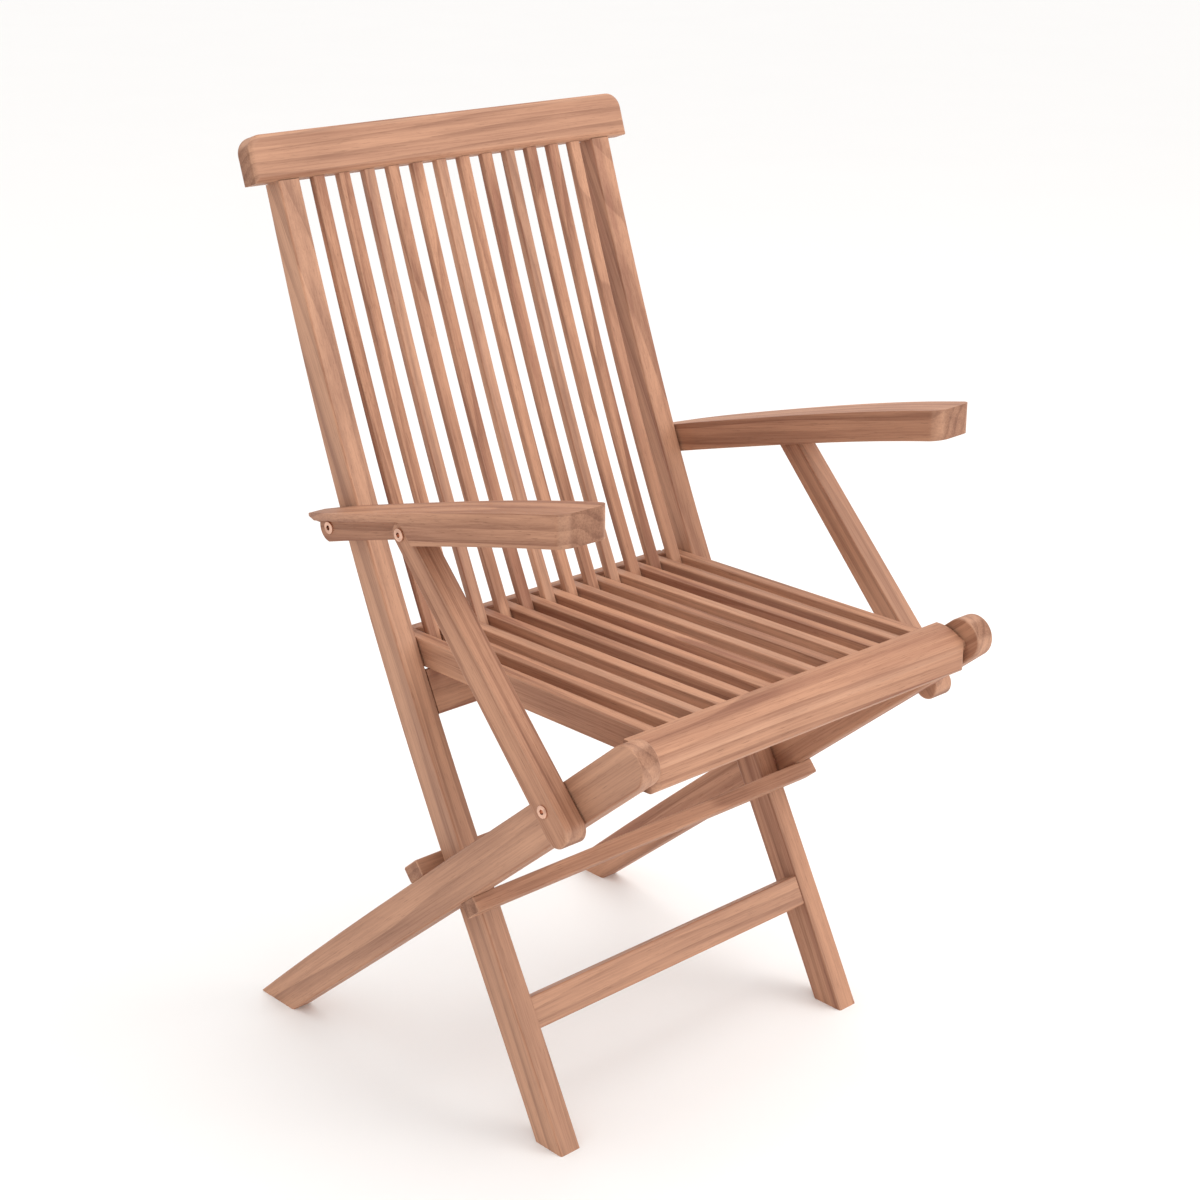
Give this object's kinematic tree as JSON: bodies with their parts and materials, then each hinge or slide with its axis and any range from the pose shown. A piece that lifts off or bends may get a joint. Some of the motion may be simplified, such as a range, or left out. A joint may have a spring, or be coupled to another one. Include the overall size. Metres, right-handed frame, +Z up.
{
  "type": "folding armchair",
  "caption": "Folding garden armchair of bare teak with a curved slatted back, a slatted seat and arms on struts.",
  "frame": {"origin": "on the floor under the middle of the open chair", "axes": "+Z up, the chair faces -Y, +X is the sitter's left"},
  "size_m": [0.526, 0.5748, 0.8987],
  "materials": {
    "wood": "bare sanded teak, matte",
    "metal": "polished"
  },
  "bodies": {
    "back_frame": {"top_rail": "wood", "stile_left": "wood", "stile_right": "wood", "lower_back_rail": "wood", "front_stretcher": "wood", "back_slat_01": "wood", "back_slat_02": "wood", "back_slat_03": "wood", "back_slat_04": "wood", "back_slat_05": "wood", "back_slat_06": "wood", "back_slat_07": "wood", "back_slat_08": "wood", "back_slat_09": "wood", "back_slat_10": "wood", "back_slat_11": "wood", "back_slat_12": "wood", "arm_pivot_bolts": "metal"},
    "legs": {"leg_left": "wood", "leg_right": "wood", "rear_crossbar": "wood", "front_crossbar": "wood", "crossbar_dowels": "wood", "leg_pivot_pins": "metal", "strut_foot_nuts": "metal"},
    "seat": {"seat_front_rail": "wood", "seat_side_rail_left": "wood", "seat_side_rail_right": "wood", "seat_rear_batten": "wood", "seat_slat_01": "wood", "seat_slat_02": "wood", "seat_slat_03": "wood", "seat_slat_04": "wood", "seat_slat_05": "wood", "seat_slat_06": "wood", "seat_slat_07": "wood", "seat_slat_08": "wood", "seat_slat_09": "wood", "seat_slat_10": "wood", "seat_slat_11": "wood"},
    "arm_left": {"armrest_left": "wood", "strut_top_bolt_left": "metal"},
    "arm_right": {"armrest_right": "wood", "strut_top_bolt_right": "metal"},
    "strut_left": {"strut_left": "wood", "strut_foot_bolt_left": "metal"},
    "strut_right": {"strut_right": "wood", "strut_foot_bolt_right": "metal"}
  },
  "joints": [
    {"name": "fold", "type": "hinge", "parent": "legs", "child": "back_frame", "pos_m": [0, -0.031, 0.233], "axis": [1, 0, 0], "range_deg": [0, 66]},
    {"name": "seat_turn", "type": "hinge", "parent": "legs", "child": "seat", "pos_m": [0, -0.265, 0.431], "axis": [1, 0, 0], "range_deg": [0, 123.82]},
    {"name": "arm_left_turn", "type": "hinge", "parent": "back_frame", "child": "arm_left", "pos_m": [0.2202, 0.13, 0.551], "axis": [-1, 0, 0], "range_deg": [0, 84.86]},
    {"name": "strut_left_turn", "type": "hinge", "parent": "arm_left", "child": "strut_left", "pos_m": [0.2447, -0.009, 0.583], "axis": [1, 0, 0], "range_deg": [0, 103.34]},
    {"name": "arm_right_turn", "type": "hinge", "parent": "back_frame", "child": "arm_right", "pos_m": [-0.2202, 0.13, 0.551], "axis": [-1, 0, 0], "range_deg": [0, 84.86]},
    {"name": "strut_right_turn", "type": "hinge", "parent": "arm_right", "child": "strut_right", "pos_m": [-0.2447, -0.009, 0.583], "axis": [1, 0, 0], "range_deg": [0, 103.34]}
  ],
  "couplings": [
    {"joint": "seat_turn", "follows": "fold", "ratio": 1.8758},
    {"joint": "arm_left_turn", "follows": "fold", "ratio": 1.2855},
    {"joint": "strut_left_turn", "follows": "fold", "ratio": 1.5654},
    {"joint": "arm_right_turn", "follows": "fold", "ratio": 1.2855},
    {"joint": "strut_right_turn", "follows": "fold", "ratio": 1.5654}
  ]
}
